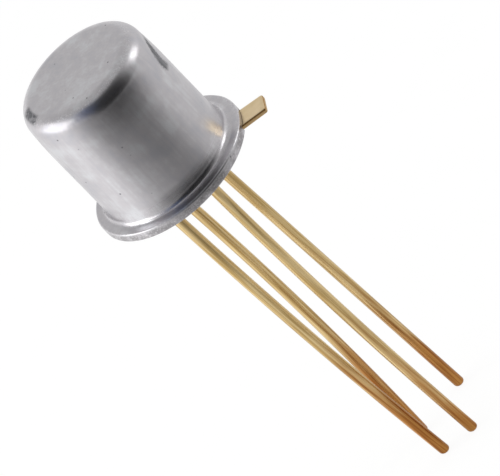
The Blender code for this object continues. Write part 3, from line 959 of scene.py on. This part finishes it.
camera_data = bpy.data.cameras.new("product_camera")
camera_data.sensor_width = 36.0
camera_data.lens = PIXELS_PER_MM * VIEW_DISTANCE / MM / PICTURE_WIDTH * camera_data.sensor_width
camera_data.clip_start = VIEW_DISTANCE / 100
camera_data.clip_end = 100.0
camera = bpy.data.objects.new("product_camera", camera_data)
bpy.context.scene.collection.objects.link(camera)
back = (to_camera * VIEW_DISTANCE - aim).normalized()
right = (picture_right - back * picture_right.dot(back)).normalized()
up = back.cross(right)
turn = Matrix((right, up, back)).transposed().to_4x4()
camera.matrix_world = Matrix.Translation(to_camera * VIEW_DISTANCE) @ turn
bpy.context.scene.camera = camera
print(f"Lens {camera_data.lens:.0f} mm")

# %% [markdown]
# The floor
#
# The photograph is cut out on plain white. A sheet of white paper lies just under the lead tips and takes
# the object's faint shadow.

# %% White paper
FLOOR_LEVEL = -LEAD_LENGTH - 0.01 * MM
FLOOR_SIZE = 3.0
select_only()
bpy.ops.mesh.primitive_plane_add(size=FLOOR_SIZE, location=(0.0, 0.0, FLOOR_LEVEL))
floor = bpy.context.active_object
floor.name = "studio_floor"

paper, tree, shader, place = new_finish("white_paper_floor")
fibres = add_node(tree, "TexNoise", {"Vector": place, "Scale": per(2.0), "Detail": 3.0})
tone = add_node(tree, "ValToRGB", [fibres], stops=[(0.3, "F2F2F2"), (0.7, "F7F7F7")])
set_finish(tree, shader, Base_Color=tone, Roughness=0.9)
wear_finish(floor, paper)

# %% [markdown]
# Metal shows what stands round it, and a plain white room would make it flat. It sees more light on the
# left, with a bright strip furthest left, and less on the right. One helper works this out from a
# direction, for the floor and for the room.

# %% How bright the surroundings are
LEFT_SIDE = 1.15
RIGHT_SIDE = 0.82
BRIGHT_STRIP = 0.15
STRIP_STARTS = -0.86


def side_light(tree, way):
    """The brightness in a direction: quiet on the right, rising leftwards to a bright strip."""
    to_right = add_node(tree, "VectorMath", [way, level_right], operation="DOT_PRODUCT")
    strip = [to_right, STRIP_STARTS, -1.0, 0.0, BRIGHT_STRIP]
    bright = add_node(tree, "MapRange", strip, interpolation_type="SMOOTHSTEP")
    slope = add_node(tree, "MapRange", [to_right, -1.0, 1.0, LEFT_SIDE, RIGHT_SIDE])
    return add_node(tree, "Math", [slope, bright])


print(f"Left {LEFT_SIDE}, with the strip {LEFT_SIDE + BRIGHT_STRIP:.2f}, right {RIGHT_SIDE}")

# %% [markdown]
# Light Path tells a material what kind of ray has arrived. To the camera, and to light that passed
# through glass, the paper glows an even white. To metal it glows as worked out above, and less in front.
# The small share that doesn't glow takes the shadow.

# %% Let the paper glow
FRONT_SHARE = 0.82
FRONT_BAND = (0.45, 0.85)
PAPER_GLOW = 1.05
GLOW_SHARE = 0.86
path = add_node(tree, "LightPath").node.outputs
way = add_node(tree, "VectorMath", [place], operation="NORMALIZE")
to_front = add_node(tree, "VectorMath", [way, towards(1.0, VIEW_TOWARDS)], operation="DOT_PRODUCT")
dip = [to_front, *FRONT_BAND, 1.0, FRONT_SHARE]
in_front = add_node(tree, "MapRange", dip, interpolation_type="SMOOTHSTEP")
in_metal = add_node(tree, "Math", [side_light(tree, way), in_front], operation="MULTIPLY")
gloss_share = add_node(tree, "Math", [path["Is Glossy Ray"], in_metal], operation="MULTIPLY")
plain_share = add_node(
    tree, "Math", [path["Is Camera Ray"], path["Is Transmission Ray"]], operation="MAXIMUM"
)
strength = add_node(tree, "Math", [plain_share, PAPER_GLOW, gloss_share], operation="MULTIPLY_ADD")
seen = add_node(tree, "Math", [plain_share, path["Is Glossy Ray"]], operation="MAXIMUM")
glow = add_node(tree, "Emission", {"Color": linear("FFFFFF"), "Strength": strength})
share = add_node(tree, "Math", [seen, GLOW_SHARE], operation="MULTIPLY")
mixed = add_node(tree, "MixShader", [share, shader.outputs["BSDF"], glow])
tree.links.new(mixed, tree.nodes["Material Output"].inputs["Surface"])
print("The paper glows with", len(tree.nodes), "nodes")

# %% [markdown]
# The room
#
# The room is a white tent, darker overhead, which sets the plain light level. At the horizon it is as
# bright as the floor at the sides. The camera itself sees plain white.

# %% The tent
OVERHEAD_LOW, OVERHEAD_TOP = 0.72, 0.50
world = bpy.data.worlds.new("studio_surround")
bpy.context.scene.world = world
world.use_nodes = True
tree = world.node_tree
tree.nodes.clear()
camera_ray = add_node(tree, "LightPath").node.outputs["Is Camera Ray"]
way = add_node(tree, "TexCoord")
upwards = add_node(tree, "SeparateXYZ", [way]).node.outputs["Z"]
horizon = side_light(tree, way)
overhead = add_node(tree, "MapRange", [upwards, 0.5, 0.97, OVERHEAD_LOW, OVERHEAD_TOP])
climb = add_node(tree, "MapRange", [upwards, 0.0, 0.45], interpolation_type="SMOOTHSTEP")
tent = add_node(tree, "Mix", {"Factor": climb, "A": horizon, "B": overhead})
room = add_node(tree, "Background", {"Color": linear("FFFFFF"), "Strength": tent})
white = add_node(tree, "Background", {"Color": linear("FFFFFF"), "Strength": 1.0})
seen = add_node(tree, "MixShader", [camera_ray, room, white])
add_node(tree, "OutputWorld", {"Surface": seen})
print("Tent strength", OVERHEAD_TOP, "straight above")

# %% [markdown]
# Two softboxes put the bright strokes on the round of the top and on the fillet at the foot. Each is
# placed by the direction from which it is mirrored there, seen from the camera. Its power follows from
# its size, so the size can change and the brightness stays.

# %% Softboxes
SOFTBOX_AWAY = 90 * MM


def softbox(name, picture_side, elevation, width, height, radiance):
    """A lamp at an angle from the picture's right, round past the camera, and at an elevation."""
    lamp = bpy.data.lights.new(name, "AREA")
    lamp.shape = "RECTANGLE"
    lamp.size = width
    lamp.size_y = height
    lamp.energy = radiance * math.pi * width * height
    box = bpy.data.objects.new(name, lamp)
    bpy.context.scene.collection.objects.link(box)
    rise = math.radians(elevation)
    way = towards(math.cos(rise), VIEW_TOWARDS + 90 - picture_side, math.sin(rise))
    box.location = way * SOFTBOX_AWAY
    box.rotation_mode = "QUATERNION"
    box.rotation_quaternion = way.to_track_quat("Z", "Y")
    box.visible_camera = False
    print(f"{name}: {lamp.energy:.4f} W")


softbox("softbox_left", 185, 27, 76 * MM, 62 * MM, 1.5)
softbox("softbox_right", -4, 20, 28 * MM, 48 * MM, 1.9)

# %% [markdown]
# The dark card
#
# A can in an all-white tent would look flat. Photographers set a black card in front, below the lens, and
# its mirror image gives the metal its dark middle. This one is a patch of a sphere, close enough to shift
# in the mirror image from the top of the wall to the foot. The camera looks through it and it casts no
# shadow, so it only shapes reflections.
#
# The faces of a sphere that lie outside the patch are found by their turn and their rise, and are
# deleted.

# %% The card's shape
CARD_RADIUS = 20 * MM
CARD_LEVEL = 2.5 * MM
CARD_TURN = VIEW_TOWARDS + 90 - 82
CARD_LEFT, CARD_RIGHT, CARD_FOOT, CARD_TOP = -104, 92, -42, 80
select_only()
bpy.ops.mesh.primitive_uv_sphere_add(
    segments=72, ring_count=48, radius=CARD_RADIUS, location=(0.0, 0.0, CARD_LEVEL)
)
card = bpy.context.active_object
card.name = "dark_card"
bpy.ops.object.transform_apply(location=True, rotation=False, scale=False)


def outside_card(middle, normal):
    aside = math.degrees(math.atan2(middle.y, middle.x)) - CARD_TURN
    rise = math.degrees(math.asin((middle.z - CARD_LEVEL) / CARD_RADIUS))
    return not CARD_LEFT < aside < CARD_RIGHT or not CARD_FOOT < rise < CARD_TOP


print("Faces cut away:", pick(card, "FACE", outside_card))
bpy.ops.mesh.delete(type="FACE")
end_edit()
card.visible_camera = False
card.visible_diffuse = False
card.visible_shadow = False

# %% [markdown]
# The card's edges are feathered, because a hard edge would draw a line on satin metal. Its material
# therefore reads the same two angles.

# %% The two angles on the card
velvet, tree, shader, place = new_finish("black_velvet_card")
centred = add_node(tree, "VectorMath", [place, (0.0, 0.0, -CARD_LEVEL)])
axes = add_node(tree, "SeparateXYZ", [centred]).node.outputs
turn = add_node(tree, "Math", [axes["Y"], axes["X"]], operation="ARCTAN2")
aside = add_node(tree, "Math", [turn, math.radians(CARD_TURN)], operation="SUBTRACT")
sine = add_node(tree, "Math", [axes["Z"], CARD_RADIUS], operation="DIVIDE")
rise = add_node(tree, "Math", [sine], operation="ARCSINE")
leaning = add_node(tree, "Math", [rise, 0.60, aside], operation="MULTIPLY_ADD")
print("Angles on the card:", len(tree.nodes), "nodes")

# %% [markdown]
# Three shades are laid over each other, and the darkest wins: a wide grey one low down, a black one from
# just under the horizon up, whose left edge leans outwards with height, and a low one that darkens the
# flange's lip. Each is a product of soft fades. The left end is a little blue: a painted tint of cool
# light, which the metal shows at the left end of its dark band.


# %% The card's shades
def shade(darkest, *fades):
    """A dark patch: each fade is an angle, where it is clear and where it is full, in degrees."""
    cover = darkest
    for angle, none, full in fades:
        limits = [angle, math.radians(none), math.radians(full)]
        fade = add_node(tree, "MapRange", limits, interpolation_type="SMOOTHSTEP")
        cover = add_node(tree, "Math", [fade, cover], operation="MULTIPLY")
    return cover


grey = shade(0.76, (aside, 72, 8), (aside, -92, -22), (rise, -39, -24), (rise, 30, 5))
black = shade(1.0, (aside, 78, 30), (leaning, -60, -14), (rise, -23, -14), (rise, 75, 58))
low = shade(0.85, (aside, 78, 30), (leaning, -60, -14), (rise, -41, -36), (rise, -30, -34))
blue = shade(1.0, (aside, -20, -50), (rise, 5, 25))
upper = add_node(tree, "Math", [grey, black], operation="MAXIMUM")
cover = add_node(tree, "Math", [upper, low], operation="MAXIMUM")
tone = add_node(tree, "ValToRGB", [blue], stops=[(0.0, "101012"), (1.0, "4A6290")])
set_finish(tree, shader, Base_Color=tone, Roughness=0.9)
clear = add_node(tree, "BsdfTransparent")
mixed = add_node(tree, "MixShader", [cover, clear, shader.outputs["BSDF"]])
tree.links.new(mixed, tree.nodes["Material Output"].inputs["Surface"])
wear_finish(card, velvet)

# %% [markdown]
# Colour view
#
# The colours are shown as computed, with the Standard view. The new pieces must stay inside the CAD
# model's box.

# %% Colour view
bpy.context.scene.view_settings.view_transform = "Standard"
bpy.context.view_layer.update()
